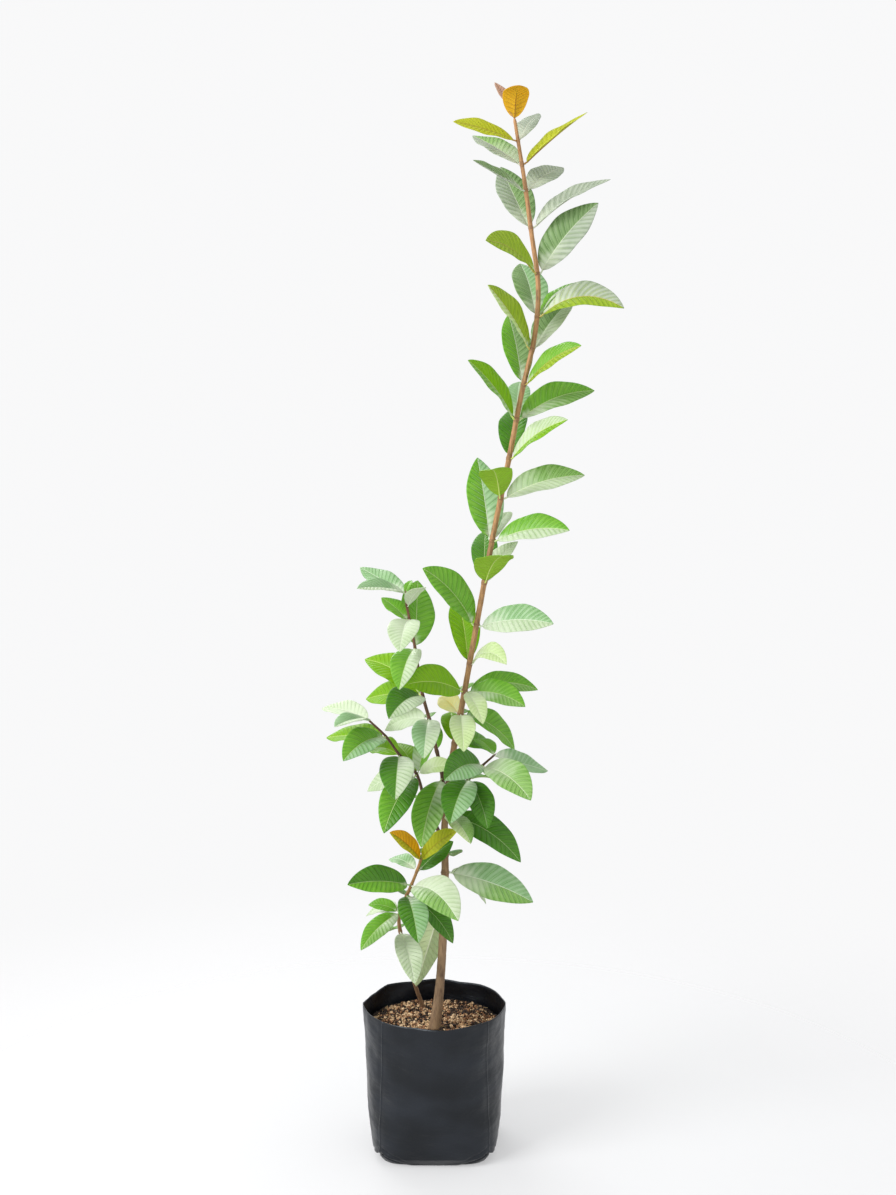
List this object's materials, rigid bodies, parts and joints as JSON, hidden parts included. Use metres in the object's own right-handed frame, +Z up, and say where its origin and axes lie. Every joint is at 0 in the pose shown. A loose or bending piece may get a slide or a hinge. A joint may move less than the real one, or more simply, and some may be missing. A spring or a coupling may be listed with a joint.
{
  "type": "guava tree in a nursery grow bag",
  "caption": "Young guava tree with one tall leaning stem, a short second stem and three side boughs, opposite veined leaves in pairs, standing in a soil-filled black nursery grow bag.",
  "frame": {"origin": "middle of the flat underside of the grow bag, on the floor", "axes": "+Z up along the plant's height, +X to the plant's right as seen from the front, +Y to its back"},
  "size_m": [0.413, 0.2261, 1.4893],
  "materials": {
    "bag_film": "satin black polyethylene film, lightly creased",
    "potting_soil": "loose brown potting mix with pale chips",
    "bark": "tan-brown bark with darker leaf nodes",
    "young_bark": "thin dark brown bark",
    "leaf": "green with paler parallel veins, undersides pale grey-green",
    "young_leaf": "amber to yellow-green, with darker veins"
  },
  "bodies": {
    "root": {"grow_bag": "bag_film", "soil": "potting_soil", "trunk": "bark", "trunk_leaves_01": "leaf", "trunk_leaves_02": "leaf", "trunk_leaves_03": "leaf", "trunk_leaves_04": "leaf", "trunk_leaves_05": "leaf", "trunk_leaves_06": "leaf", "trunk_leaves_07": "leaf", "trunk_leaves_08": "leaf", "trunk_leaves_09": "leaf", "trunk_leaves_10": "leaf", "trunk_leaves_11": "leaf", "trunk_leaves_12": "leaf", "trunk_leaves_13": "leaf", "trunk_leaves_14": "leaf", "trunk_leaves_15": "leaf", "trunk_leaves_16": "leaf", "trunk_leaves_17": "leaf", "trunk_leaves_18": "leaf", "trunk_leaves_19": "leaf", "trunk_leaves_20": "leaf", "trunk_leaves_21": "leaf", "trunk_leaves_22": "leaf", "trunk_leaves_23": "leaf", "trunk_tip_leaves": "young_leaf", "basal_stem": "bark", "basal_stem_leaves_01": "leaf", "basal_stem_leaves_02": "leaf", "basal_stem_leaves_03": "leaf", "basal_stem_leaves_04": "leaf", "basal_stem_leaves_05": "leaf", "basal_stem_tip_leaves": "young_leaf", "upper_left_bough": "young_bark", "upper_left_bough_leaves_01": "leaf", "upper_left_bough_leaves_02": "leaf", "upper_left_bough_leaves_03": "leaf", "upper_left_bough_leaves_04": "leaf", "upper_left_bough_leaves_05": "leaf", "upper_left_bough_leaves_06": "leaf", "upper_left_bough_leaves_07": "leaf", "upper_left_bough_tip_leaves": "leaf", "lower_left_bough": "young_bark", "lower_left_bough_leaves_01": "leaf", "lower_left_bough_leaves_02": "leaf", "lower_left_bough_leaves_03": "leaf", "lower_left_bough_leaves_04": "leaf", "lower_left_bough_tip_leaves": "leaf", "right_bough": "young_bark", "right_bough_leaves_01": "leaf", "right_bough_leaves_02": "leaf", "right_bough_tip_leaves": "leaf"}
  },
  "joints": []
}
